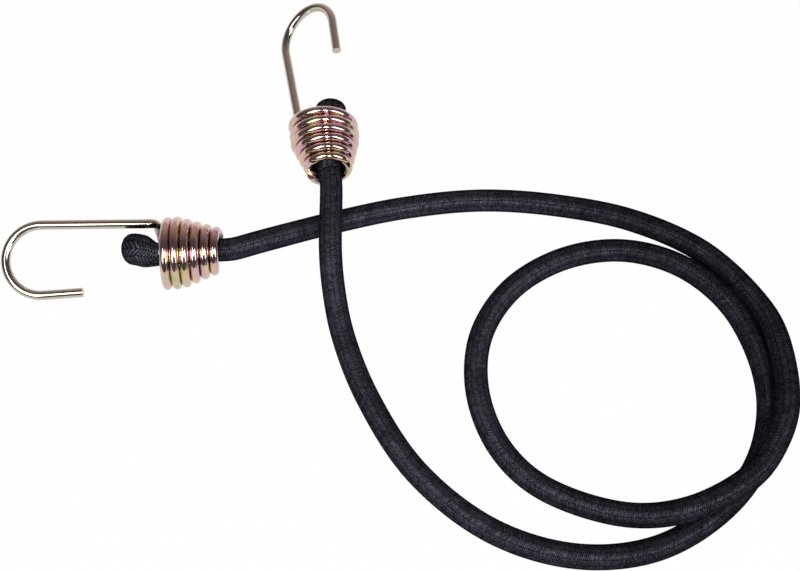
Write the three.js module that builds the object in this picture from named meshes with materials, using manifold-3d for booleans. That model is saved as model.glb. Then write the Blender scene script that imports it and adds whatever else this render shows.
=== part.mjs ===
// A bungee cord: an elastic cord with a coiled wire hook on each end.
// Millimetres, +Z up. The cord lies on the plane z = 0, as it was laid down unstretched.
// The origin is on that plane, below the middle of the box round the two hooks.

import * as THREE from 'three';
import { mergeVertices } from 'three/addons/utils/BufferGeometryUtils.js';
import Module from 'manifold-3d';

const wasm = await Module();
wasm.setup();

// Cord: a woven sheath over a bundle of rubber strands
const CORD_DIAMETER = 10;
const SHEATH_WALL = 1.4;
const CORE_CLEARANCE = 0.3;
const CORD_FLAT = 1;
const CORD_SIDES = 12;
const BORE_SIDES = 8;
const CORD_STEPS = 76;

// Cord end: folded back on itself inside the hook's coil
const SQUEEZE = 0.6;
const SIDE_SQUEEZE = 1.4;
const RUN_GAP = 0.3;
const FACE_GAP = 0.3;
const MOUTH_DEPTH = 2;
const SPREAD_START = 3;
const SPREAD_LENGTH = 12.5;
const TAIL_CUT = 16;
const BIGHT_THICKNESS = 9;
const BIGHT_WIDTH = 13;
const FOLD_SIDES = 12;
const SPREAD_STEPS = 5;
const RUN_STEPS = 2;
const BIGHT_STEPS = 10;

// Clip: a steel strip bent round both runs of the folded cord
const CLIP_THICKNESS = 1;
const CLIP_WIDTH = 6;
const CLIP_CLEARANCE = 0.3;
const CLIP_JOINT = 1;
const CLIP_INSET = 6.5;
const CLIP_LEAD = 0.8;
const CLIP_ARC_SEGMENTS = 6;

// Hook: one wire, coiled round the cord's end and bent to a hook
const WIRE_DIAMETER = 3.6;
const WIRE_CHAMFER = 0.5;
const COIL_GAP = 0.42;
const COIL_TURNS = 6.1;
const BARREL_TURNS = 2.1;
const OPEN_TURNS = 0.6;
const COIL_OPENING = 1.7;
const BARREL_CLEARANCE = 0.85;
const NECK_CLEARANCE = 1.1;
const COIL_FLAT = 0.5;
const ELBOW_RADIUS = 4.4;
const SHANK_SPLAY = 3.5;
const HOOK_LENGTH = 93.7;
const HOOK_RADIUS = 15;
const TIP_LENGTH = 16.75;
const WIRE_SIDES = 8;
const TURN_STEPS = 24;
const ELBOW_STEPS = 6;
const SHANK_STEPS = 3;
const HOOK_STEPS = 16;
const TIP_STEPS = 2;

// Where each hook lies: the middle of its coil's narrow end, the way its axis points from
// there, and how far the hook, and the fold inside it, are turned about that axis, in degrees.
// The fold reaches past the coil's wide end, and its bight leans a little to one side.
const LEFT_PLACE = [18.3, -54.41];
const LEFT_HEADING = 184.76;
const LEFT_HOOK_ROLL = 158;
const LEFT_FOLD_ROLL = 68;
const LEFT_FOLD_REACH = 16.7;
const LEFT_FOLD_LEAN = 2.9;
const RIGHT_PLACE = [62.94, -17.49];
const RIGHT_HEADING = 98.1;
const RIGHT_HOOK_ROLL = -40;
const RIGHT_FOLD_ROLL = 110;
const RIGHT_FOLD_REACH = 13.6;
const RIGHT_FOLD_LEAN = 4.15;

// The free cord's route from the left hook to the right one: x, y, and how far the cord is
// lifted off the surface that it lies on. It lifts to reach each hook, and where it crosses itself.
const ROUTE = [
  [33.5, -49.7, 9.3], [53, -39.2, 1.6], [63.5, -35.2, 0], [94.5, -27.7, 0], [129.5, -23.7, 0],
  [163, -26.2, 0], [196, -33.7, 0], [226, -49.2, 0], [246, -74.7, 1.4], [251, -93.7, 7],
  [249.5, -124.7, 10.6], [242.5, -141.7, 11], [231.5, -155.2, 11], [206, -168.2, 9.6], [182, -167.7, 1],
  [149.5, -155.7, 0], [133.5, -138.7, 0], [125.5, -114.2, 0], [128, -89.2, 0], [142, -67.2, 0],
  [165.5, -52.7, 0], [191.5, -49.2, 0], [215, -57.2, 0], [233, -74.2, 0], [243.5, -98.2, 0],
  [245, -122.2, 0], [237, -146.7, 0], [220, -166.2, 0], [193.5, -181.2, 0], [162.5, -184.2, 0],
  [130, -174.2, 0], [100.5, -150.2, 0], [80.5, -118.2, 0], [69.5, -89.2, 0], [65.5, -70.2, 4],
  [64, -55.2, 9.6],
];
const ROUTE_LEAD = 4;

// One overrun for every cut
const OVERRUN = 5;

// Sizes that follow from these
const CORD_RADIUS = CORD_DIAMETER / 2;
const BORE_RADIUS = CORD_RADIUS - SHEATH_WALL;
const CORE_RADIUS = BORE_RADIUS - CORE_CLEARANCE;
const LYING_HEIGHT = CORD_RADIUS - CORD_FLAT;
const RUN_THICKNESS = CORD_DIAMETER - SQUEEZE;
const RUN_OFFSET = (RUN_THICKNESS + RUN_GAP) / 2;
const CLIP_BEND = (CORD_DIAMETER - SIDE_SQUEEZE) / 2 + CLIP_CLEARANCE;
const CLIP_HALF_LENGTH = RUN_OFFSET + RUN_THICKNESS / 2 + CLIP_CLEARANCE;
const WIRE_RADIUS = WIRE_DIAMETER / 2;
const BARREL_RADIUS = CLIP_HALF_LENGTH + CLIP_THICKNESS + BARREL_CLEARANCE + WIRE_RADIUS;
const NECK_RADIUS = CORD_RADIUS + NECK_CLEARANCE + WIRE_RADIUS;
const COIL_PITCH = WIRE_DIAMETER + COIL_GAP;
const COIL_END = COIL_PITCH * COIL_TURNS + WIRE_RADIUS;
const AXIS_HEIGHT = BARREL_RADIUS + WIRE_RADIUS - COIL_FLAT;
const CLIP_START = COIL_END - CLIP_INSET;
const CLIP_END = CLIP_START + CLIP_WIDTH;
const FREE_START = CLIP_END + CLIP_LEAD;

const steel = (color, roughness) => new THREE.MeshStandardMaterial({ color, roughness, metalness: 1 });
const plain = (color, roughness) => new THREE.MeshStandardMaterial({ color, roughness, metalness: 0 });

const MATERIALS = {
  sheath: () => plain(0x141417, 0.7),
  core: () => plain(0xb79d76, 0.8),
  clip: () => steel(0xd9dade, 0.25),
  hook: () => steel(0xd6bfa6, 0.22),
};

function mesh(name, geometry, material) {
  const piece = new THREE.Mesh(geometry, MATERIALS[material]());
  piece.name = name;
  return piece;
}

// Booleans

function solidOf(geometry) {
  const bare = geometry.clone();
  bare.deleteAttribute('normal');
  bare.deleteAttribute('uv');
  const merged = mergeVertices(bare);
  return new wasm.Manifold(new wasm.Mesh({
    numProp: 3,
    vertProperties: new Float32Array(merged.attributes.position.array),
    triVerts: new Uint32Array(merged.index.array),
  }));
}

function geometryOf(solid) {
  const { vertProperties, triVerts } = solid.getMesh();
  const geometry = new THREE.BufferGeometry();
  geometry.setAttribute('position', new THREE.BufferAttribute(new Float32Array(vertProperties), 3));
  geometry.setIndex(new THREE.BufferAttribute(new Uint32Array(triVerts), 1));
  geometry.computeVertexNormals();
  return geometry;
}

// Cuts away all of a geometry that lies below a level
function cutBelow(geometry, level) {
  geometry.computeBoundingBox();
  const { min, max } = geometry.boundingBox;
  const low = Math.min(min.z, level) - OVERRUN;
  const slab = new THREE.BoxGeometry(
    max.x - min.x + 2 * OVERRUN,
    max.y - min.y + 2 * OVERRUN,
    level - low,
  );
  slab.translate((min.x + max.x) / 2, (min.y + max.y) / 2, (level + low) / 2);
  return geometryOf(solidOf(geometry).subtract(solidOf(slab)));
}

// Tubes through stations, each a centre with two section axes already at their real half sizes

function ringPoints(station, sides) {
  const points = [];
  for (let i = 0; i < sides; i++) {
    const angle = (2 * Math.PI * i) / sides;
    points.push(station.centre.clone()
      .addScaledVector(station.first, Math.cos(angle))
      .addScaledVector(station.second, Math.sin(angle)));
  }
  return points;
}

// Joins rings of equal counts into a wall; outward when first, second and the way along are right-handed
function addWall(triangles, rings, outward) {
  for (let i = 0; i + 1 < rings.length; i++) {
    const sides = rings[i].length;
    for (let j = 0; j < sides; j++) {
      const next = (j + 1) % sides;
      const corners = [rings[i][j], rings[i][next], rings[i + 1][next], rings[i + 1][j]];
      const order = outward ? [0, 1, 2, 0, 2, 3] : [0, 2, 1, 0, 3, 2];
      order.forEach((corner) => triangles.push(corners[corner]));
    }
  }
}

function geometryFromTriangles(corners) {
  const geometry = new THREE.BufferGeometry().setFromPoints(corners);
  const merged = mergeVertices(geometry);
  merged.computeVertexNormals();
  return merged;
}

function tubeThrough(stations, sides) {
  const rings = stations.map((station) => ringPoints(station, sides));
  const triangles = [];
  addWall(triangles, rings, true);
  const ends = [[rings[0], stations[0].centre, false], [rings.at(-1), stations.at(-1).centre, true]];
  for (const [ring, centre, last] of ends) {
    for (let j = 0; j < sides; j++) {
      const next = (j + 1) % sides;
      triangles.push(centre, ring[last ? j : next], ring[last ? next : j]);
    }
  }
  return geometryFromTriangles(triangles);
}

function hollowTube(outerStations, innerStations, sides) {
  const outer = outerStations.map((station) => ringPoints(station, sides));
  const inner = innerStations.map((station) => ringPoints(station, sides));
  const triangles = [];
  addWall(triangles, outer, true);
  addWall(triangles, inner, false);
  addWall(triangles, [inner[0], outer[0]], true);
  addWall(triangles, [outer.at(-1), inner.at(-1)], true);
  return geometryFromTriangles(triangles);
}

// The hook's wire, in the frame of its own coil: x along the axis from the narrow end towards the
// hook, and the angle about x counted from y towards z

function onAxis(along, radius, angle) {
  return new THREE.Vector3(along, radius * Math.cos(angle), radius * Math.sin(angle));
}

function coilRadius(turn) {
  const taper = Math.max(0, turn - BARREL_TURNS) / (COIL_TURNS - BARREL_TURNS);
  return BARREL_RADIUS + (NECK_RADIUS - BARREL_RADIUS) * taper;
}

// The turns are wound close, but the first one opens out towards the elbow
function coilAlong(turn) {
  const open = 1 - THREE.MathUtils.smoothstep(turn, 0, OPEN_TURNS);
  return COIL_END - COIL_PITCH * turn + COIL_OPENING * open;
}

function coilPoint(turn, roll) {
  return onAxis(coilAlong(turn), coilRadius(turn), roll + 2 * Math.PI * turn);
}

// From the tip, round the bend, along the shank and the elbow, then down the coil to the narrow end
function hookPoints(rollDegrees) {
  const roll = THREE.MathUtils.degToRad(rollDegrees);
  const splay = THREE.MathUtils.degToRad(SHANK_SPLAY);
  const lead = Math.atan2(COIL_PITCH, 2 * Math.PI * BARREL_RADIUS);
  const elbowArc = ELBOW_RADIUS * (1 - Math.sin(lead));
  const coilStart = elbowArc / (2 * Math.PI * BARREL_RADIUS);
  const elbowAlong = coilAlong(coilStart) + ELBOW_RADIUS * Math.cos(lead);
  const bendAlong = HOOK_LENGTH - WIRE_RADIUS - HOOK_RADIUS;
  const shankRise = (bendAlong - HOOK_RADIUS * Math.sin(splay) - elbowAlong) * Math.tan(splay);
  const bendRadius = BARREL_RADIUS + shankRise - HOOK_RADIUS * Math.cos(splay);
  const tipRadius = bendRadius - HOOK_RADIUS;

  const points = [];
  for (let i = 0; i < TIP_STEPS; i++) {
    points.push(onAxis(bendAlong - TIP_LENGTH * (1 - i / TIP_STEPS), tipRadius, roll));
  }
  for (let i = 0; i <= HOOK_STEPS; i++) {
    const turned = -Math.PI / 2 + ((Math.PI + splay) * i) / HOOK_STEPS;
    points.push(onAxis(
      bendAlong + HOOK_RADIUS * Math.cos(turned),
      bendRadius + HOOK_RADIUS * Math.sin(turned),
      roll,
    ));
  }
  const shankEnd = onAxis(elbowAlong, BARREL_RADIUS, roll);
  const shankTop = points.at(-1).clone();
  for (let i = 1; i < SHANK_STEPS; i++) {
    points.push(shankTop.clone().lerp(shankEnd, i / SHANK_STEPS));
  }
  for (let i = 0; i < ELBOW_STEPS; i++) {
    const turned = ((Math.PI / 2 - lead) * i) / ELBOW_STEPS;
    points.push(onAxis(
      elbowAlong - ELBOW_RADIUS * Math.sin(turned),
      BARREL_RADIUS,
      roll + (ELBOW_RADIUS * (1 - Math.cos(turned))) / BARREL_RADIUS,
    ));
  }
  const coilSteps = Math.round(COIL_TURNS * TURN_STEPS);
  for (let i = 0; i <= coilSteps; i++) {
    points.push(coilPoint(coilStart + ((COIL_TURNS - coilStart) * i) / coilSteps, roll));
  }
  return points;
}

// Least free gap between turns: points at least half a turn apart along the wire are compared
function leastGap(points) {
  const apart = Math.round(TURN_STEPS / 2);
  let least = Infinity;
  for (let i = 0; i < points.length; i++) {
    for (let j = i + apart; j + 1 < points.length; j++) {
      const stretch = new THREE.Line3(points[j], points[j + 1]);
      const nearest = stretch.closestPointToPoint(points[i], true, new THREE.Vector3());
      least = Math.min(least, nearest.distanceTo(points[i]) - WIRE_DIAMETER);
    }
  }
  return least;
}

// Wire stations: section axes carried along without twist, with both ends chamfered
function wireStations(points) {
  const stations = [];
  let side = new THREE.Vector3();
  for (let i = 0; i < points.length; i++) {
    const along = points[Math.min(i + 1, points.length - 1)].clone()
      .sub(points[Math.max(i - 1, 0)]).normalize();
    if (i === 0) {
      side.crossVectors(along, points[0].clone().setX(0)).normalize();
    }
    side = side.clone().addScaledVector(along, -side.dot(along)).normalize();
    stations.push({ centre: points[i].clone(), along, side });
  }
  const start = stations[0];
  const end = stations.at(-1);
  const inside = (station, reach) => ({
    ...station,
    centre: station.centre.clone().addScaledVector(station.along, reach),
  });
  const whole = [inside(start, WIRE_CHAMFER), ...stations.slice(1, -1), inside(end, -WIRE_CHAMFER)];
  const sized = (station, radius) => ({
    centre: station.centre,
    first: station.side.clone().multiplyScalar(radius),
    second: station.along.clone().cross(station.side).multiplyScalar(radius),
  });
  return [
    sized(start, WIRE_RADIUS - WIRE_CHAMFER),
    ...whole.map((station) => sized(station, WIRE_RADIUS)),
    sized(end, WIRE_RADIUS - WIRE_CHAMFER),
  ];
}

function hookGeometry(rollDegrees) {
  const points = hookPoints(rollDegrees);
  console.log(`least gap between the coil's turns ${leastGap(points).toFixed(3)}`);
  return cutBelow(tubeThrough(wireStations(points), WIRE_SIDES), -AXIS_HEIGHT);
}

// The folded cord end, in the coil's frame: out along one run, round the bight and back

function foldCentres(bightAlong) {
  const spreadEnd = SPREAD_START + SPREAD_LENGTH;
  const centres = [{ along: MOUTH_DEPTH + FACE_GAP, offset: 0 }];
  for (let i = 0; i <= SPREAD_STEPS; i++) {
    const share = i / SPREAD_STEPS;
    centres.push({
      along: SPREAD_START + SPREAD_LENGTH * share,
      offset: (RUN_OFFSET * (1 - Math.cos(Math.PI * share))) / 2,
    });
  }
  const run = (from, to, offset) => {
    for (let i = 1; i <= RUN_STEPS; i++) {
      centres.push({ along: from + ((to - from) * i) / RUN_STEPS, offset });
    }
  };
  run(spreadEnd, FREE_START, RUN_OFFSET);
  run(FREE_START, bightAlong, RUN_OFFSET);
  for (let i = 1; i <= BIGHT_STEPS; i++) {
    const turned = Math.PI / 2 - (Math.PI * i) / BIGHT_STEPS;
    centres.push({
      along: bightAlong + RUN_OFFSET * Math.cos(turned),
      offset: RUN_OFFSET * Math.sin(turned),
    });
  }
  run(bightAlong, FREE_START, -RUN_OFFSET);
  run(FREE_START, TAIL_CUT, -RUN_OFFSET);
  return centres;
}

// Half sizes of the cord's section along the fold: round at the neck, squeezed under the clip and a
// little beyond it, and spread flat round the bight
function foldSection(along, bightAlong) {
  const squeezed = THREE.MathUtils.smoothstep(along, SPREAD_START, SPREAD_START + SPREAD_LENGTH);
  const spread = THREE.MathUtils.smoothstep(along, FREE_START, bightAlong);
  const thickness = CORD_DIAMETER - SQUEEZE * squeezed;
  const width = CORD_DIAMETER - SIDE_SQUEEZE * squeezed;
  return {
    thick: THREE.MathUtils.lerp(thickness, BIGHT_THICKNESS, spread) / 2,
    wide: THREE.MathUtils.lerp(width, BIGHT_WIDTH, spread) / 2,
  };
}

function foldStations({ foldRoll, foldReach, foldLean }, inset) {
  const roll = THREE.MathUtils.degToRad(foldRoll);
  const across = onAxis(0, 1, roll + Math.PI / 2);
  const bightAlong = COIL_END + foldReach - BIGHT_THICKNESS / 2 - RUN_OFFSET;
  const centres = foldCentres(bightAlong);
  const places = centres.map(({ along, offset }) => {
    const lean = foldLean * THREE.MathUtils.smoothstep(along, FREE_START, bightAlong + RUN_OFFSET);
    return onAxis(along, offset, roll).addScaledVector(across, lean);
  });
  return centres.map(({ along }, i) => {
    const way = places[Math.min(i + 1, places.length - 1)].clone()
      .sub(places[Math.max(i - 1, 0)]).normalize();
    const side = across.clone().addScaledVector(way, -way.dot(across)).normalize();
    const { thick, wide } = foldSection(along, bightAlong);
    return {
      centre: places[i],
      first: side.clone().multiplyScalar(wide - inset),
      second: way.clone().cross(side).multiplyScalar(thick - inset),
    };
  });
}

function foldSheath(end) {
  return hollowTube(foldStations(end, 0), foldStations(end, SHEATH_WALL), FOLD_SIDES);
}

function foldCore(end) {
  return tubeThrough(foldStations(end, SHEATH_WALL + CORE_CLEARANCE), FOLD_SIDES);
}

// The clip: an open ring with flat sides and round ends, its joint in the middle of one flat side
function clipGeometry(rollDegrees) {
  const outerBend = CLIP_BEND + CLIP_THICKNESS;
  const bendAt = CLIP_HALF_LENGTH - CLIP_BEND;
  const half = Math.PI / 2;
  const outline = new THREE.Shape();
  outline.moveTo(CLIP_JOINT / 2, -outerBend);
  outline.absarc(bendAt, 0, outerBend, -half, half, false);
  outline.absarc(-bendAt, 0, outerBend, half, 3 * half, false);
  outline.lineTo(-CLIP_JOINT / 2, -outerBend);
  outline.lineTo(-CLIP_JOINT / 2, -CLIP_BEND);
  outline.absarc(-bendAt, 0, CLIP_BEND, 3 * half, half, true);
  outline.absarc(bendAt, 0, CLIP_BEND, half, -half, true);
  outline.lineTo(CLIP_JOINT / 2, -CLIP_BEND);
  const strip = new THREE.ExtrudeGeometry(outline, {
    depth: CLIP_WIDTH,
    curveSegments: CLIP_ARC_SEGMENTS,
    bevelEnabled: false,
  });
  // the outline's x turns to the fold's direction, and its depth to the coil's axis
  strip.rotateZ(THREE.MathUtils.degToRad(rollDegrees));
  strip.applyMatrix4(new THREE.Matrix4().makeBasis(
    new THREE.Vector3(0, 1, 0),
    new THREE.Vector3(0, 0, 1),
    new THREE.Vector3(1, 0, 0),
  ));
  strip.translate(CLIP_START, 0, 0);
  return strip;
}

function hookedEnd(side, end) {
  const group = new THREE.Group();
  group.position.set(end.place[0], end.place[1], AXIS_HEIGHT);
  group.rotation.z = THREE.MathUtils.degToRad(end.heading);
  group.add(mesh(`${side}_hook`, hookGeometry(end.hookRoll), 'hook'));
  group.add(mesh(`${side}_clip`, clipGeometry(end.foldRoll), 'clip'));
  group.add(mesh(`${side}_fold_sheath`, foldSheath(end), 'sheath'));
  group.add(mesh(`${side}_fold_core`, foldCore(end), 'core'));
  return group;
}

// The free cord

// A smooth curve whose section axes stay level, so that a flat on the cord faces down all along
class LevelCurve extends THREE.CatmullRomCurve3 {
  computeFrenetFrames(segments) {
    const frames = { tangents: [], normals: [], binormals: [] };
    for (let i = 0; i <= segments; i++) {
      const tangent = this.getTangentAt(i / segments);
      const binormal = new THREE.Vector3(0, 0, 1);
      binormal.addScaledVector(tangent, -binormal.dot(tangent)).normalize();
      frames.tangents.push(tangent);
      frames.binormals.push(binormal);
      frames.normals.push(binormal.clone().cross(tangent));
    }
    return frames;
  }
}

function axisPoint({ place, heading }, along) {
  const turn = THREE.MathUtils.degToRad(heading);
  return new THREE.Vector3(
    place[0] + along * Math.cos(turn),
    place[1] + along * Math.sin(turn),
    AXIS_HEIGHT,
  );
}

function cordCurve(left, right) {
  const free = ROUTE.map(([x, y, lift]) => new THREE.Vector3(x, y, LYING_HEIGHT + lift));
  return new LevelCurve([
    axisPoint(left, MOUTH_DEPTH),
    axisPoint(left, -ROUTE_LEAD),
    ...free,
    axisPoint(right, -ROUTE_LEAD),
    axisPoint(right, MOUTH_DEPTH),
  ]);
}

function polygon(radius, sides) {
  const corners = [];
  for (let i = 0; i < sides; i++) {
    const angle = (2 * Math.PI * (i + 0.5)) / sides;
    corners.push(new THREE.Vector2(radius * Math.cos(angle), radius * Math.sin(angle)));
  }
  return corners;
}

function cordSheath(curve) {
  const section = new THREE.Shape(polygon(CORD_RADIUS, CORD_SIDES));
  section.holes.push(new THREE.Path(polygon(BORE_RADIUS, BORE_SIDES)));
  return cutBelow(new THREE.ExtrudeGeometry(section, { steps: CORD_STEPS, extrudePath: curve }), 0);
}

function cordCore(curve) {
  const section = new THREE.Shape(polygon(CORE_RADIUS, BORE_SIDES));
  return new THREE.ExtrudeGeometry(section, { steps: CORD_STEPS, extrudePath: curve });
}

const LEFT = {
  place: LEFT_PLACE,
  heading: LEFT_HEADING,
  hookRoll: LEFT_HOOK_ROLL,
  foldRoll: LEFT_FOLD_ROLL,
  foldReach: LEFT_FOLD_REACH,
  foldLean: LEFT_FOLD_LEAN,
};
const RIGHT = {
  place: RIGHT_PLACE,
  heading: RIGHT_HEADING,
  hookRoll: RIGHT_HOOK_ROLL,
  foldRoll: RIGHT_FOLD_ROLL,
  foldReach: RIGHT_FOLD_REACH,
  foldLean: RIGHT_FOLD_LEAN,
};

const route = cordCurve(LEFT, RIGHT);
console.log(`free cord ${route.getLength().toFixed(1)} long`);

const bungeeCord = new THREE.Group();
bungeeCord.add(mesh('cord_sheath', cordSheath(route), 'sheath'));
bungeeCord.add(mesh('cord_core', cordCore(route), 'core'));
bungeeCord.add(hookedEnd('left', LEFT));
bungeeCord.add(hookedEnd('right', RIGHT));

export default bungeeCord;
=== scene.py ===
"""A bungee cord: a braided elastic cord with a coiled wire hook on each end, lying on a pale floor.

Everything is in metres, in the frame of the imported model: +Z up, the solid cord lying on z = 0.
"""

import math

import bpy
from mathutils import Matrix, Vector


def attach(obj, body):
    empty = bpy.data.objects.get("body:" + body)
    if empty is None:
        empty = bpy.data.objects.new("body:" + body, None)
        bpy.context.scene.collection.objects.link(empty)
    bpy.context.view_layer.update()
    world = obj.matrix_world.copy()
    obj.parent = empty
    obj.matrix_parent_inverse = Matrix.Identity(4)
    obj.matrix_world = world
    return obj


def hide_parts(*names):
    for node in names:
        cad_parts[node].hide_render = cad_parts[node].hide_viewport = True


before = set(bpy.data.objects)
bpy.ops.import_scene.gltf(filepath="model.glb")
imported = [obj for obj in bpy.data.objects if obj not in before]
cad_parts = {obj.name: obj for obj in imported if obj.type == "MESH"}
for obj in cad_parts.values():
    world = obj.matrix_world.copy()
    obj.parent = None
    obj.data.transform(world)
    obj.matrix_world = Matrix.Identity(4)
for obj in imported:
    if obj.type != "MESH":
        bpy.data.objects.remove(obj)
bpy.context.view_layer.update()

MM = 0.001

# Camera: a picture 800 by 571, seen from 63 degrees above the floor
FOCAL_LENGTH = 59.4
CAMERA_ELEVATION = 63
CAMERA_TILT = math.radians(90 - CAMERA_ELEVATION)
CAMERA_AIM = Vector((93.65, -63.98, 0)) * MM
CAMERA_DISTANCE = 571.43 * MM
CAMERA_NEAR = 10 * MM

# Cord
CORD_DIAMETER = 10 * MM
CORD_RADIUS = CORD_DIAMETER / 2
LYING_HEIGHT = 4 * MM
SQUEEZE = 0.6 * MM
SIDE_SQUEEZE = 1.4 * MM
RUN_GAP = 0.3 * MM
FACE_GAP = 0.05 * MM
MOUTH_DEPTH = 2 * MM
SPREAD_START = 3 * MM
SPREAD_LENGTH = 12.5 * MM
TAIL_CUT = 16 * MM
BIGHT_THICKNESS = 9 * MM
BIGHT_WIDTH = 13 * MM
SPREAD_STEPS = 12
RUN_STEPS = 16
BIGHT_STEPS = 32
CORD_STEP = 1.25 * MM
CURVE_CUTS = 40
SHORTEST_SPAN = 1e-9

# Braid: columns of slanted yarns, each column leaning the other way; its edges are valleys,
# the narrower the higher their power
BRAID_COLUMNS = 12
COLUMN_SIDES = 4
BRAID_PITCH = 0.74 * MM
BRAID_RELIEF = 0.08 * MM
VALLEY_POWER = 6.0
VALLEY_DEPTH = 0.5
YARN_LEAN = 1.3
YARN_BUMP = 0.16 * MM
FILAMENTS = 5
FILAMENT_RELIEF = 0.05
SLACK_WEAVE = 0.62

# Clip
CLIP_THICKNESS = 1 * MM
CLIP_WIDTH = 6 * MM
CLIP_CLEARANCE = 0.3 * MM
CLIP_INSET = 6.5 * MM
CLIP_LEAD = 0.8 * MM

# Hook wire: it is wound closed, a little thicker than the solid that leaves a gap between turns
CAD_WIRE_DIAMETER = 3.6 * MM
WIRE_DIAMETER = 4 * MM
COIL_GAP = 0.42 * MM
COIL_TURNS = 6.1
BARREL_TURNS = 2.1
OPEN_TURNS = 0.6
COIL_OPENING = 1.7 * MM
BARREL_CLEARANCE = 0.85 * MM
NECK_CLEARANCE = 1.1 * MM
COIL_FLAT = 0.5 * MM
ELBOW_RADIUS = 4.4 * MM
SHANK_SPLAY = math.radians(3.5)
HOOK_LENGTH = 93.7 * MM
HOOK_RADIUS = 15 * MM
TIP_LENGTH = 16.75 * MM
TURN_STEPS = 72
ELBOW_STEPS = 14
SHANK_STEPS = 8
HOOK_STEPS = 56
TIP_STEPS = 5
WIRE_SIDES = 28
WELD = 0.001 * MM
SMOOTH_ANGLE = math.radians(40)

# Sizes that follow from these
RUN_THICKNESS = CORD_DIAMETER - SQUEEZE
RUN_OFFSET = (RUN_THICKNESS + RUN_GAP) / 2
CLIP_HALF_LENGTH = RUN_OFFSET + RUN_THICKNESS / 2 + CLIP_CLEARANCE
CAD_WIRE_RADIUS = CAD_WIRE_DIAMETER / 2
WIRE_RADIUS = WIRE_DIAMETER / 2
BARREL_RADIUS = CLIP_HALF_LENGTH + CLIP_THICKNESS + BARREL_CLEARANCE + CAD_WIRE_RADIUS
NECK_RADIUS = CORD_RADIUS + NECK_CLEARANCE + CAD_WIRE_RADIUS
COIL_PITCH = CAD_WIRE_DIAMETER + COIL_GAP
COIL_END = COIL_PITCH * COIL_TURNS + CAD_WIRE_RADIUS
AXIS_HEIGHT = BARREL_RADIUS + CAD_WIRE_RADIUS - COIL_FLAT
CLIP_START = COIL_END - CLIP_INSET
CLIP_END = CLIP_START + CLIP_WIDTH
FREE_START = CLIP_END + CLIP_LEAD
FLOOR_LEVEL = AXIS_HEIGHT - BARREL_RADIUS - WIRE_RADIUS

# The two hooked ends: the middle of the coil's narrow end, the way its axis points from there,
# how far the hook and the fold are turned about that axis, and how far the fold reaches and leans
ENDS = {
    "left": {
        "place": (18.3 * MM, -54.41 * MM), "heading": math.radians(184.76),
        "hook_roll": math.radians(158), "fold_roll": math.radians(68),
        "fold_reach": 16.7 * MM, "fold_lean": 2.9 * MM,
    },
    "right": {
        "place": (62.94 * MM, -17.49 * MM), "heading": math.radians(98.1),
        "hook_roll": math.radians(-40), "fold_roll": math.radians(110),
        "fold_reach": 13.6 * MM, "fold_lean": 4.15 * MM,
    },
}

# The free cord's route from the left hook to the right one: x, y and the lift above its lying
# height. At the right of the loop the two strands touch, so there they leave the solid's route.
ROUTE = [
    (0.0335, -0.0497, 0.0093), (0.0530, -0.0392, 0.0016), (0.0635, -0.0352, 0.0),
    (0.0945, -0.0277, 0.0), (0.1295, -0.0237, 0.0), (0.1630, -0.0262, 0.0),
    (0.1960, -0.0339, 0.0), (0.2254, -0.0498, 0.0002), (0.2450, -0.0755, 0.0030),
    (0.2502, -0.0939, 0.0070), (0.2495, -0.1247, 0.0106), (0.2425, -0.1417, 0.0110),
    (0.2315, -0.1552, 0.0110), (0.2060, -0.1682, 0.0096), (0.1820, -0.1677, 0.0010),
    (0.1495, -0.1557, 0.0), (0.1335, -0.1387, 0.0), (0.1255, -0.1142, 0.0),
    (0.1280, -0.0892, 0.0), (0.1420, -0.0672, 0.0), (0.1655, -0.0527, 0.0),
    (0.1915, -0.0490, 0.0), (0.2155, -0.0567, 0.0), (0.2336, -0.0740, 0.0),
    (0.2435, -0.0982, 0.0), (0.2450, -0.1222, 0.0), (0.2370, -0.1467, 0.0),
    (0.2200, -0.1662, 0.0), (0.1935, -0.1812, 0.0), (0.1625, -0.1842, 0.0),
    (0.1300, -0.1742, 0.0), (0.1005, -0.1502, 0.0), (0.0805, -0.1182, 0.0),
    (0.0695, -0.0892, 0.0), (0.0655, -0.0702, 0.0040), (0.0640, -0.0552, 0.0096),
]
ROUTE_LEAD = 4 * MM

# Yarn: noise scales are per metre, and a span or range is where something starts and ends
NOISE_SPAN = (0.3, 0.7)
WEAR_SCALE, WEAR_DETAIL, WEAR_RANGE = 110.0, 2.0, (0.75, 1.2)
FUZZ_SCALE, FUZZ_DETAIL, FUZZ_RANGE = 2000.0, 1.0, (0.3, 1.7)
YARN_RANGE = (0.45, 1.0)
# painted shade: the yarns darken towards the right of the loop, between these x places and by these
# factors
RIGHT_SHADE_SPAN, RIGHT_SHADE_RANGE = (120 * MM, 200 * MM), (1.04, 0.58)
YARN_ROUGHNESS = (0.48, 0.38)
YARN_METALLIC = 0.68
# near black between the yarns: partly the braid's dark gaps, partly painted shade where the yarns
# shade each other
BETWEEN_YARNS = (0.0015, 0.0015, 0.002, 1)
TIGHT_CREST = (0.078, 0.080, 0.106, 1)
SLACK_CREST = (0.104, 0.106, 0.136, 1)
TIGHT_SHARPNESS = 1.6
SLACK_SHARPNESS = 2.5

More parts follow.
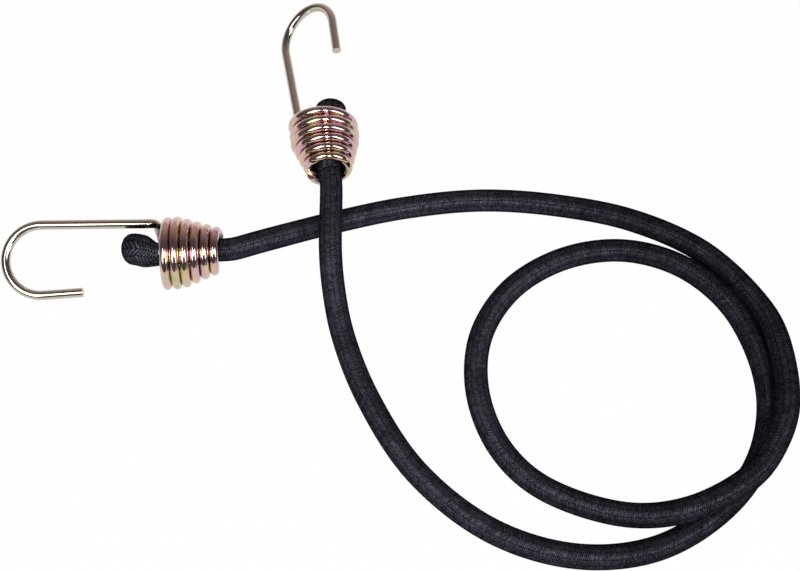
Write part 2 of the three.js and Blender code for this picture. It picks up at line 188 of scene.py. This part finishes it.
# Plating: tints of the wire's straight lengths, of its coil, and of the clips
DRIFT_SCALE, DRIFT_DETAIL, DRIFT_SPAN = 120.0, 1.5, (0.32, 0.68)
GRAIN_SCALE, GRAIN_DETAIL, GRAIN_RELIEF = 900.0, 3.0, 0.004 * MM
OPEN_TINTS = [
    (0.54, 0.54, 0.41), (0.60, 0.55, 0.47), (0.62, 0.50, 0.50), (0.58, 0.52, 0.46),
    (0.56, 0.55, 0.42),
]
COIL_TINTS = [
    (0.50, 0.49, 0.28), (0.70, 0.56, 0.36), (0.68, 0.45, 0.39), (0.64, 0.43, 0.51),
    (0.66, 0.44, 0.38), (0.70, 0.59, 0.37),
]
CLIP_TINTS = [(0.82, 0.82, 0.85), (0.74, 0.75, 0.78)]
# painted shade: the dark colour of the coil's inside, where it faces the cord
COIL_INSIDE_SHADE = (0.085, 0.075, 0.07, 1)
WIRE_ROUGHNESS = 0.10
CLIP_ROUGHNESS = 0.16
ROUGHNESS_SHARES = (0.75, 1.35)
INSIDE_SPAN = (0.1, 0.6)

# Floor, room and lamps; each lamp has its degrees beside and above the camera, width, height and
# watts
FLOOR_SIZE = 6
FLOOR_GREY = (0.5, 0.5, 0.5, 1)
FLOOR_ROUGHNESS = 0.9
FLOOR_MIRRORED = 0.85
WHITENESS = 0.988
ROOM_GREY = (0.09, 0.083, 0.083, 1)
WALL_COLOUR = (0.64, 0.49, 0.46, 1)
WALL_POWER = 2.0
LAMP_DISTANCE = 1.4
LAMPS = {
    "left_softbox": (-24, -7, 0.62, 1.05, 10),
    "right_softbox": (44, -7, 0.45, 1.05, 8),
    "camera_lamp": (9, -4, 0.20, 0.36, 8),
}


# Camera

def add_camera():
    bpy.ops.object.camera_add(rotation=(CAMERA_TILT, 0, 0))
    camera = bpy.context.object
    away = camera.matrix_world.to_3x3() @ Vector((0, 0, 1))
    camera.location = CAMERA_AIM + away * CAMERA_DISTANCE
    camera.data.lens = FOCAL_LENGTH
    camera.data.clip_start = CAMERA_NEAR
    bpy.context.scene.camera = camera


# Node helpers

def new_material(name):
    material = bpy.data.materials.new(name)
    material.use_nodes = True
    nodes = material.node_tree.nodes
    return material, nodes, material.node_tree.links, nodes["Principled BSDF"]


def feed(links, value, socket):
    if isinstance(value, bpy.types.NodeSocket):
        links.new(value, socket)
    else:
        socket.default_value = value


def calculate(tree, operation, *values, clamp=False):
    node = tree.nodes.new("ShaderNodeMath")
    node.operation = operation
    node.use_clamp = clamp
    for socket, value in zip(node.inputs, values):
        feed(tree.links, value, socket)
    return node.outputs[0]


def product(tree, value, *factors):
    for factor in factors:
        value = calculate(tree, "MULTIPLY", value, factor)
    return value


def blend_colours(tree, factor, first, second):
    node = tree.nodes.new("ShaderNodeMix")
    node.data_type = "RGBA"
    feed(tree.links, factor, node.inputs["Factor"])
    feed(tree.links, first, node.inputs["A"])
    feed(tree.links, second, node.inputs["B"])
    return node.outputs["Result"]


def remap(tree, value, span, new_span):
    node = tree.nodes.new("ShaderNodeMapRange")
    names = ("Value", "From Min", "From Max", "To Min", "To Max")
    for name, given in zip(names, (value, *span, *new_span)):
        feed(tree.links, given, node.inputs[name])
    return node.outputs["Result"]


def noise(tree, place, scale, detail):
    node = tree.nodes.new("ShaderNodeTexNoise")
    node.inputs["Scale"].default_value = scale
    node.inputs["Detail"].default_value = detail
    tree.links.new(place, node.inputs["Vector"])
    return node.outputs["Fac"]


def split_vector(tree, vector):
    node = tree.nodes.new("ShaderNodeSeparateXYZ")
    tree.links.new(vector, node.inputs[0])
    return node.outputs


def attribute(tree, name):
    node = tree.nodes.new("ShaderNodeAttribute")
    node.attribute_name = name
    return node.outputs["Fac"]


def new_group(name, inputs, outputs):
    tree = bpy.data.node_groups.new(name, "ShaderNodeTree")
    for socket, kind, value in inputs:
        made = tree.interface.new_socket(socket, in_out="INPUT", socket_type=kind)
        if value is not None:
            made.default_value = value
    for socket in outputs:
        tree.interface.new_socket(socket, in_out="OUTPUT", socket_type="NodeSocketFloat")
    given = tree.nodes.new("NodeGroupInput").outputs
    return tree, given, tree.nodes.new("NodeGroupOutput").inputs


def place_group(tree, group, **values):
    node = tree.nodes.new("ShaderNodeGroup")
    node.node_tree = group
    for name, value in values.items():
        feed(tree.links, value, node.inputs[name.title()])
    return node.outputs


def bump_into(tree, shader, height, distance):
    node = tree.nodes.new("ShaderNodeBump")
    node.inputs["Distance"].default_value = distance
    tree.links.new(height, node.inputs["Height"])
    tree.links.new(node.outputs["Normal"], shader.inputs["Normal"])


# Effects that more than one material uses

def braid_group():
    """The height of the braid's yarns, a random value for each yarn and the lines of its
    filaments, from a map in metres along the cord and round it."""
    tree, given, out = new_group(
        "braid",
        [
            ("Map", "NodeSocketVector", None),
            ("Pitch", "NodeSocketFloat", BRAID_PITCH),
            ("Column", "NodeSocketFloat", math.pi * CORD_DIAMETER / BRAID_COLUMNS),
            ("Lean", "NodeSocketFloat", YARN_LEAN),
        ],
        ["Height", "Yarn", "Filament"],
    )
    place = split_vector(tree, given["Map"])
    along = calculate(tree, "DIVIDE", place["X"], given["Pitch"])
    round_it = calculate(tree, "DIVIDE", place["Y"], given["Column"])
    column = calculate(tree, "FLOOR", round_it)
    across = calculate(tree, "SUBTRACT", calculate(tree, "FRACT", round_it), 0.5)
    # 1 in the even columns and -1 in the odd ones
    odd = calculate(tree, "FLOORED_MODULO", column, 2.0)
    way = calculate(tree, "SUBTRACT", 1.0, product(tree, odd, 2.0))
    phase = calculate(tree, "ADD", along, product(tree, across, way, given["Lean"]))
    # each yarn is round, and dips towards the edges of its column
    offset = calculate(tree, "SUBTRACT", calculate(tree, "FRACT", phase), 0.5)
    width = product(tree, offset, 2.0)
    square = calculate(tree, "SUBTRACT", 1.0, product(tree, width, width), clamp=True)
    crown = calculate(tree, "SQRT", square)
    edge = calculate(tree, "ABSOLUTE", product(tree, across, 2.0))
    valley = calculate(tree, "POWER", edge, VALLEY_POWER)
    shoulder = calculate(tree, "SUBTRACT", 1.0, product(tree, valley, VALLEY_DEPTH))
    tree.links.new(product(tree, crown, shoulder), out["Height"])
    # one random value for each yarn of each column
    cell = tree.nodes.new("ShaderNodeCombineXYZ")
    tree.links.new(calculate(tree, "FLOOR", phase), cell.inputs["X"])
    tree.links.new(column, cell.inputs["Y"])
    chance = tree.nodes.new("ShaderNodeTexWhiteNoise")
    tree.links.new(cell.outputs[0], chance.inputs["Vector"])
    tree.links.new(chance.outputs["Value"], out["Yarn"])
    lines = calculate(tree, "SINE", product(tree, phase, 2 * math.pi * FILAMENTS))
    tree.links.new(lines, out["Filament"])
    return tree


def wear_and_shade_group():
    """How much a yarn shines: no two the same, worn in patches and fuzzy in specks, and less so
    towards the right of the loop, as in the photograph, which is painted shade where the light
    falls off."""
    tree, given, out = new_group(
        "wear_and_shade",
        [("Place", "NodeSocketVector", None), ("Yarn", "NodeSocketFloat", None)],
        ["Shine"],
    )
    place = given["Place"]
    worn = remap(tree, noise(tree, place, WEAR_SCALE, WEAR_DETAIL), NOISE_SPAN, WEAR_RANGE)
    fuzz = remap(tree, noise(tree, place, FUZZ_SCALE, FUZZ_DETAIL), NOISE_SPAN, FUZZ_RANGE)
    yarn = remap(tree, given["Yarn"], (0.0, 1.0), YARN_RANGE)
    # painted shade: the yarns darken towards the right of the loop
    right_shade = remap(tree, split_vector(tree, place)["X"], RIGHT_SHADE_SPAN, RIGHT_SHADE_RANGE)
    tree.links.new(product(tree, yarn, worn, fuzz, right_shade), out["Shine"])
    return tree


def grain_group():
    """The slow drift of a plating's tint, and its fine grain."""
    tree, given, out = new_group(
        "plating_grain", [("Place", "NodeSocketVector", None)], ["Drift", "Grain"])
    tree.links.new(noise(tree, given["Place"], DRIFT_SCALE, DRIFT_DETAIL), out["Drift"])
    tree.links.new(noise(tree, given["Place"], GRAIN_SCALE, GRAIN_DETAIL), out["Grain"])
    return tree


# Materials

def sheath_material(name, braid, wear_and_shade, sharpness, crest):
    """Braid whose yarns shine along their crests; the sharper, the narrower the part that does."""
    material, nodes, links, shader = new_material(name)
    tree = material.node_tree
    uv = nodes.new("ShaderNodeUVMap")
    uv.uv_map = "Braid"
    weave = place_group(tree, braid, map=uv.outputs["UV"])
    place = nodes.new("ShaderNodeTexCoord").outputs["Object"]
    shine = place_group(tree, wear_and_shade, place=place, yarn=weave["Yarn"])["Shine"]
    lit = product(tree, calculate(tree, "POWER", weave["Height"], sharpness), shine)
    # from the crests to near black between the yarns: partly the braid's dark gaps, partly painted
    # shade
    links.new(blend_colours(tree, lit, BETWEEN_YARNS, crest), shader.inputs["Base Color"])
    links.new(remap(tree, lit, (0.0, 1.0), YARN_ROUGHNESS), shader.inputs["Roughness"])
    # satin yarn: a tinted sheen in the middle of the cord that dies away at its edges
    shader.inputs["Metallic"].default_value = YARN_METALLIC
    shader.inputs["Specular IOR Level"].default_value = 0.0
    shader.inputs["Specular Tint"].default_value = (0, 0, 0, 1)
    filaments = product(tree, weave["Filament"], FILAMENT_RELIEF)
    bump_into(tree, shader, calculate(tree, "ADD", weave["Height"], filaments), YARN_BUMP)
    return material


def tint_ramp(tree, drift, tints):
    """Tints passing into each other as the drift goes from low to high."""
    ramp = tree.nodes.new("ShaderNodeValToRGB")
    ramp.color_ramp.interpolation = "B_SPLINE"
    first, last = DRIFT_SPAN
    while len(ramp.color_ramp.elements) < len(tints):
        ramp.color_ramp.elements.new(0.5)
    for i, (element, tint) in enumerate(zip(ramp.color_ramp.elements, tints)):
        element.position = first + (last - first) * i / (len(tints) - 1)
        element.color = (*tint, 1)
    tree.links.new(drift, ramp.inputs["Fac"])
    return ramp.outputs["Color"]


def plating_material(name, grain, open_tints, coil_tints, roughness):
    """Bright zinc with the thin-film tints of its passivation, drifting from place to place.

    They are stronger on the coil, which the wire's "coiled" attribute marks, and painted dark on
    the side that faces the cord, which "inside" marks: painted shade inside the coil.
    """
    material, nodes, links, shader = new_material(name)
    tree = material.node_tree
    place = nodes.new("ShaderNodeTexCoord").outputs["Object"]
    metal = place_group(tree, grain, place=place)
    straight, wound = (tint_ramp(tree, metal["Drift"], tints) for tints in (open_tints, coil_tints))
    colour = blend_colours(tree, attribute(tree, "coiled"), straight, wound)
    # painted shade on the side of the coil that faces the cord
    colour = blend_colours(tree, attribute(tree, "inside"), colour, COIL_INSIDE_SHADE)
    links.new(colour, shader.inputs["Base Color"])
    shader.inputs["Metallic"].default_value = 1.0
    spread = [roughness * share for share in ROUGHNESS_SHARES]
    links.new(remap(tree, metal["Grain"], NOISE_SPAN, spread), shader.inputs["Roughness"])
    bump_into(tree, shader, metal["Grain"], GRAIN_RELIEF)
    return material


def floor_material():
    """White as the camera sees it and nearly so in reflections, with the object's shadow on it."""
    material, nodes, links, shader = new_material("pale_floor")
    tree = material.node_tree
    shader.inputs["Base Color"].default_value = FLOOR_GREY
    shader.inputs["Roughness"].default_value = FLOOR_ROUGHNESS
    shader.inputs["Specular IOR Level"].default_value = 0.0
    path = nodes.new("ShaderNodeLightPath")
    mirrored = product(tree, path.outputs["Is Glossy Ray"], FLOOR_MIRRORED)
    seen = calculate(tree, "MAXIMUM", path.outputs["Is Camera Ray"], mirrored)
    glow = nodes.new("ShaderNodeEmission")
    glow.inputs["Strength"].default_value = 1.0
    mix = nodes.new("ShaderNodeMixShader")
    links.new(product(tree, seen, WHITENESS), mix.inputs["Fac"])
    links.new(shader.outputs[0], mix.inputs[1])
    links.new(glow.outputs[0], mix.inputs[2])
    links.new(mix.outputs[0], nodes["Material Output"].inputs["Surface"])
    return material


# Cord geometry

def axis_point(end, along):
    x, y = end["place"]
    heading = end["heading"]
    return Vector((x + along * math.cos(heading), y + along * math.sin(heading), AXIS_HEIGHT))


def route_points():
    left, right = ENDS["left"], ENDS["right"]
    free = [Vector((x, y, LYING_HEIGHT + lift)) for x, y, lift in ROUTE]
    return [axis_point(left, MOUTH_DEPTH), axis_point(left, -ROUTE_LEAD), *free,
            axis_point(right, -ROUTE_LEAD), axis_point(right, MOUTH_DEPTH)]


def centripetal(points, share):
    """A point of the centripetal Catmull-Rom curve, between the second and third of four points."""
    knots = [0.0]
    for a, b in zip(points, points[1:]):
        knots.append(knots[-1] + max((b - a).length, SHORTEST_SPAN) ** 0.5)
    t = knots[1] + (knots[2] - knots[1]) * share

    def between(a, b, low, high):
        return a.lerp(b, (t - knots[low]) / (knots[high] - knots[low]))

    near = [between(points[i], points[i + 1], i, i + 1) for i in range(3)]
    wide = [between(near[i], near[i + 1], i, i + 2) for i in range(2)]
    return between(wide[0], wide[1], 1, 2)


def smooth_line(points, step):
    """The curve through the points, cut into equal steps, and its length."""
    padded = [points[0] * 2 - points[1], *points, points[-1] * 2 - points[-2]]
    fine = []
    for i in range(1, len(padded) - 2):
        fine += [centripetal(padded[i - 1:i + 3], k / CURVE_CUTS) for k in range(CURVE_CUTS)]
    fine.append(points[-1].copy())
    travelled = [0.0]
    for a, b in zip(fine, fine[1:]):
        travelled.append(travelled[-1] + (b - a).length)
    count = round(travelled[-1] / step)
    line, at = [], 0
    for i in range(count + 1):
        target = travelled[-1] * i / count
        while at < len(fine) - 2 and travelled[at + 1] < target:
            at += 1
        span = travelled[at + 1] - travelled[at]
        line.append(fine[at].lerp(fine[at + 1], (target - travelled[at]) / span))
    return line, travelled[-1]


def directions(line):
    last = len(line) - 1
    return [(line[min(i + 1, last)] - line[max(i - 1, 0)]).normalized() for i in range(last + 1)]


def add_mesh(name, vertices, faces):
    mesh = bpy.data.meshes.new(name)
    mesh.from_pydata(vertices, [], faces)
    piece = bpy.data.objects.new(name, mesh)
    bpy.context.collection.objects.link(piece)
    for polygon in mesh.polygons:
        polygon.use_smooth = True
    return piece


def braided_tube(name, stations):
    """A closed tube through stations of (centre, first axis, second axis, travelled), with the
    braid's columns raised on it and a map of its length and girth in metres."""
    sides = BRAID_COLUMNS * COLUMN_SIDES
    vertices, faces = [], []
    for centre, first, second, _ in stations:
        for i in range(sides):
            angle = 2 * math.pi * i / sides
            valley = abs(math.cos(math.pi * i / COLUMN_SIDES)) ** VALLEY_POWER
            size = 1 - valley * BRAID_RELIEF / CORD_RADIUS
            vertices.append(
                centre + first * (math.cos(angle) * size) + second * (math.sin(angle) * size))
    for i in range(len(stations) - 1):
        for j in range(sides):
            k = (j + 1) % sides
            faces.append((i * sides + j, i * sides + k, (i + 1) * sides + k, (i + 1) * sides + j))
    faces.append(tuple(reversed(range(sides))))
    faces.append(tuple(range((len(stations) - 1) * sides, len(stations) * sides)))
    piece = add_mesh(name, vertices, faces)
    uv = piece.data.uv_layers.new(name="Braid")
    girth = math.pi * CORD_DIAMETER
    for polygon in piece.data.polygons[:-2]:
        start = polygon.vertices[0] % sides
        for loop in polygon.loop_indices:
            ring, side = divmod(piece.data.loops[loop].vertex_index, sides)
            if side < start:
                side += sides
            uv.data[loop].uv = (stations[ring][3], girth * side / sides)
    return piece


def free_cord():
    line, length = smooth_line(route_points(), CORD_STEP)
    up = Vector((0, 0, 1))
    stations = []
    for i, (point, way) in enumerate(zip(line, directions(line))):
        second = (up - way * up.dot(way)).normalized()
        first = second.cross(way)
        travelled = length * i / (len(line) - 1)
        # -first makes the faces point into the cord, and the yarns' bump is fitted to that
        stations.append((point, -first * CORD_RADIUS, second * CORD_RADIUS, travelled))
    piece = braided_tube("free_cord", stations)
    for vertex in piece.data.vertices:
        vertex.co.z = max(vertex.co.z, FLOOR_LEVEL)
    return piece, line, length


# Folded cord ends, in the coil's own frame: x along the axis from the narrow end towards the hook

def on_axis(along, radius, angle):
    return Vector((along, radius * math.cos(angle), radius * math.sin(angle)))


def coil_frame(end):
    x, y = end["place"]
    return Matrix.Translation((x, y, AXIS_HEIGHT)) @ Matrix.Rotation(end["heading"], 4, "Z")


def smoothstep(value, low, high):
    share = min(max((value - low) / (high - low), 0), 1)
    return share * share * (3 - 2 * share)


def straight_run(start, stop, offset):
    return [(start + (stop - start) * i / RUN_STEPS, offset) for i in range(1, RUN_STEPS + 1)]


def fold_centres(bight_along):
    """Places along the axis and off it: out along one run, round the bight and back."""
    centres = [(MOUTH_DEPTH + FACE_GAP, 0)]
    for i in range(SPREAD_STEPS + 1):
        share = i / SPREAD_STEPS
        offset = RUN_OFFSET * (1 - math.cos(math.pi * share)) / 2
        centres.append((SPREAD_START + SPREAD_LENGTH * share, offset))
    centres += straight_run(SPREAD_START + SPREAD_LENGTH, bight_along, RUN_OFFSET)
    for i in range(1, BIGHT_STEPS + 1):
        turned = math.pi / 2 - math.pi * i / BIGHT_STEPS
        centres.append(
            (bight_along + RUN_OFFSET * math.cos(turned), RUN_OFFSET * math.sin(turned)))
    return centres + straight_run(bight_along, TAIL_CUT, -RUN_OFFSET)


def folded_end(name, end):
    """The cord's end folded back on itself: squeezed under the clip, and wide at the bight."""
    bight_along = COIL_END + end["fold_reach"] - BIGHT_THICKNESS / 2 - RUN_OFFSET
    bight_top = bight_along + RUN_OFFSET
    roll = end["fold_roll"]
    across = on_axis(0, 1, roll + math.pi / 2)
    centres = fold_centres(bight_along)
    line = []
    for along, offset in centres:
        lean = across * end["fold_lean"] * smoothstep(along, FREE_START, bight_top)
        line.append(on_axis(along, offset, roll) + lean)
    travelled, stations = 0.0, []
    for i, (point, way) in enumerate(zip(line, directions(line))):
        if i:
            travelled += (point - line[i - 1]).length
        along = centres[i][0]
        squeezed = smoothstep(along, SPREAD_START, SPREAD_START + SPREAD_LENGTH)
        spread = smoothstep(along, FREE_START, bight_along)
        thick = CORD_DIAMETER - SQUEEZE * squeezed
        thick += (BIGHT_THICKNESS - thick) * spread
        wide = CORD_DIAMETER - SIDE_SQUEEZE * squeezed
        wide += (BIGHT_WIDTH - wide) * spread
        side = (across - way * way.dot(across)).normalized()
        stations.append(
            (point, side * (wide / 2), way.cross(side) * (thick / 2), travelled * SLACK_WEAVE))
    piece = braided_tube(name, stations)
    piece.data.transform(coil_frame(end))
    return piece


# Hook wire

def coil_radius(turn):
    taper = max(0, turn - BARREL_TURNS) / (COIL_TURNS - BARREL_TURNS)
    return BARREL_RADIUS + (NECK_RADIUS - BARREL_RADIUS) * taper


def coil_along(turn):
    """The turns are wound close, but the first one opens out towards the elbow."""
    return COIL_END - COIL_PITCH * turn + COIL_OPENING * (1 - smoothstep(turn, 0, OPEN_TURNS))


def wire_points(roll):
    """From the tip round the bend, along the shank and the elbow, then down the coil to its
    narrow end."""
    lead = math.atan2(COIL_PITCH, 2 * math.pi * BARREL_RADIUS)
    elbow_arc = ELBOW_RADIUS * (1 - math.sin(lead))
    coil_start = elbow_arc / (2 * math.pi * BARREL_RADIUS)
    elbow_along = coil_along(coil_start) + ELBOW_RADIUS * math.cos(lead)
    bend_along = HOOK_LENGTH - CAD_WIRE_RADIUS - HOOK_RADIUS
    shank_length = bend_along - HOOK_RADIUS * math.sin(SHANK_SPLAY) - elbow_along
    shank_rise = shank_length * math.tan(SHANK_SPLAY)
    bend_radius = BARREL_RADIUS + shank_rise - HOOK_RADIUS * math.cos(SHANK_SPLAY)
    points = []
    for i in range(TIP_STEPS):
        along = bend_along - TIP_LENGTH * (1 - i / TIP_STEPS)
        points.append(on_axis(along, bend_radius - HOOK_RADIUS, roll))
    for i in range(HOOK_STEPS + 1):
        turned = -math.pi / 2 + (math.pi + SHANK_SPLAY) * i / HOOK_STEPS
        along = bend_along + HOOK_RADIUS * math.cos(turned)
        points.append(on_axis(along, bend_radius + HOOK_RADIUS * math.sin(turned), roll))
    shank_top, shank_end = points[-1], on_axis(elbow_along, BARREL_RADIUS, roll)
    points += [shank_top.lerp(shank_end, i / SHANK_STEPS) for i in range(1, SHANK_STEPS)]
    for i in range(ELBOW_STEPS):
        turned = (math.pi / 2 - lead) * i / ELBOW_STEPS
        along = elbow_along - ELBOW_RADIUS * math.sin(turned)
        swung = ELBOW_RADIUS * (1 - math.cos(turned)) / BARREL_RADIUS
        points.append(on_axis(along, BARREL_RADIUS, roll + swung))
    steps = round(COIL_TURNS * TURN_STEPS)
    for i in range(steps + 1):
        turn = coil_start + (COIL_TURNS - coil_start) * i / steps
        points.append(on_axis(coil_along(turn), coil_radius(turn), roll + 2 * math.pi * turn))
    return points


def deselect_all():
    bpy.ops.object.select_all(action="DESELECT")


def swept_wire(name, points):
    """A round section carried along the points and made a mesh, with both ends cut square."""
    deselect_all()
    bpy.ops.curve.primitive_bezier_circle_add(radius=WIRE_RADIUS)
    section = bpy.context.object
    section.data.resolution_u = WIRE_SIDES // 4
    path = bpy.data.curves.new(name, "CURVE")
    path.dimensions = "3D"
    path.twist_mode = "MINIMUM"
    path.bevel_mode = "OBJECT"
    path.bevel_object = section
    path.use_fill_caps = True
    spline = path.splines.new("POLY")
    spline.points.add(len(points) - 1)
    for place, point in zip(spline.points, points):
        place.co = (*point, 1)
    wire = bpy.data.objects.new(name, path)
    bpy.context.collection.objects.link(wire)
    deselect_all()
    bpy.context.view_layer.objects.active = wire
    wire.select_set(True)
    bpy.ops.object.convert(target="MESH")
    bpy.ops.object.mode_set(mode="EDIT")
    bpy.ops.mesh.select_mode(type="FACE")
    bpy.ops.mesh.select_all(action="SELECT")
    bpy.ops.mesh.remove_doubles(threshold=WELD)
    bpy.ops.mesh.normals_make_consistent(inside=False)
    bpy.ops.object.mode_set(mode="OBJECT")
    bpy.ops.object.shade_smooth_by_angle(angle=SMOOTH_ANGLE)
    bpy.data.objects.remove(section)
    return wire


def mark_wire(wire, to_coil):
    """Marks for the plating: how far each point lies on the coil, and faces the cord in it."""
    coiled, inside = [], []
    for vertex in wire.data.vertices:
        place, normal = to_coil @ vertex.co, to_coil.to_3x3() @ vertex.normal
        outward = Vector((0, place.y, place.z)).normalized()
        coiled.append(1 - smoothstep(place.x, COIL_END - COIL_PITCH, COIL_END + 2 * COIL_PITCH))
        # how far a point faces the cord inside the coil, where the painted shade goes
        inside.append(coiled[-1] * smoothstep(-normal.dot(outward), *INSIDE_SPAN))
    for mark, values in (("coiled", coiled), ("inside", inside)):
        wire.data.attributes.new(mark, "FLOAT", "POINT").data.foreach_set("value", values)


def hook_wire(name, end):
    placed = coil_frame(end)
    wire = swept_wire(name, [placed @ point for point in wire_points(end["hook_roll"])])
    mark_wire(wire, placed.inverted())
    return wire


# Floor, lamps and background

def add_floor():
    deselect_all()
    bpy.ops.mesh.primitive_plane_add(size=FLOOR_SIZE, location=(0, 0, FLOOR_LEVEL))
    floor = bpy.context.object
    floor.name = "floor"
    floor.data.materials.append(floor_material())


def add_lamp(name, sideways, raised, width, height, power):
    """A rectangular lamp round the camera, at an angle to its side and above it."""
    turn = Matrix.Rotation(CAMERA_TILT, 3, "X")
    aside, above = math.radians(sideways), math.radians(raised)
    way = turn @ Vector((
        math.sin(aside) * math.cos(above), math.sin(above), math.cos(aside) * math.cos(above)))
    deselect_all()
    bpy.ops.object.light_add(type="AREA")
    lamp = bpy.context.object
    lamp.name = name
    lamp.data.shape = "RECTANGLE"
    lamp.data.size, lamp.data.size_y = width, height
    lamp.data.energy = power
    lamp.location = CAMERA_AIM + way * LAMP_DISTANCE
    lamp.rotation_euler = way.to_track_quat("Z", "Y").to_euler()


def add_room():
    """A dim room, white where the camera looks past the floor. Reflections also show a wall
    behind the object, away from the camera."""
    world = bpy.context.scene.world or bpy.data.worlds.new("studio")
    bpy.context.scene.world = world
    world.use_nodes = True
    tree = world.node_tree
    place = tree.nodes.new("ShaderNodeTexCoord").outputs["Generated"]
    path = tree.nodes.new("ShaderNodeLightPath")
    behind = calculate(tree, "MAXIMUM", split_vector(tree, place)["Y"], 0.0)
    wall = calculate(tree, "POWER", behind, WALL_POWER)
    mirrored = product(tree, wall, path.outputs["Is Glossy Ray"])
    colour = blend_colours(tree, mirrored, ROOM_GREY, WALL_COLOUR)
    white = (WHITENESS, WHITENESS, WHITENESS, 1)
    colour = blend_colours(tree, path.outputs["Is Camera Ray"], colour, white)
    background = tree.nodes["Background"]
    tree.links.new(colour, background.inputs["Color"])
    background.inputs["Strength"].default_value = 1.0


# Pieces and their materials

def dress(piece, material, slot, body, *nodes):
    piece.data.materials.clear()
    piece.data.materials.append(material)
    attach(piece, body)
    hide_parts(*nodes)


def paint_node(name, material):
    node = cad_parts[name]
    node.data.materials.clear()
    node.data.materials.append(material)


add_camera()
braid, wear_and_shade, grain = braid_group(), wear_and_shade_group(), grain_group()
sheath = sheath_material("braided_sheath", braid, wear_and_shade, TIGHT_SHARPNESS, TIGHT_CREST)
slack_sheath = sheath_material("slack_braid", braid, wear_and_shade, SLACK_SHARPNESS, SLACK_CREST)
plating = plating_material("yellow_zinc_plate", grain, OPEN_TINTS, COIL_TINTS, WIRE_ROUGHNESS)
zinc = plating_material("bright_zinc", grain, CLIP_TINTS, CLIP_TINTS, CLIP_ROUGHNESS)

cord, cord_line, cord_length = free_cord()
dress(cord, sheath, "sheath", "cord", "cord_sheath", "cord_core")

for side, end in ENDS.items():
    fold = folded_end(f"{side}_fold", end)
    dress(fold, slack_sheath, "sheath", "cord", f"{side}_fold_sheath", f"{side}_fold_core")
    wire = hook_wire(f"{side}_wire", end)
    dress(wire, plating, "hook", f"{side}_hook_body", f"{side}_hook")
    paint_node(f"{side}_clip", zinc)

add_floor()
for name, settings in LAMPS.items():
    add_lamp(name, *settings)
add_room()
bpy.context.scene.view_settings.view_transform = "Standard"
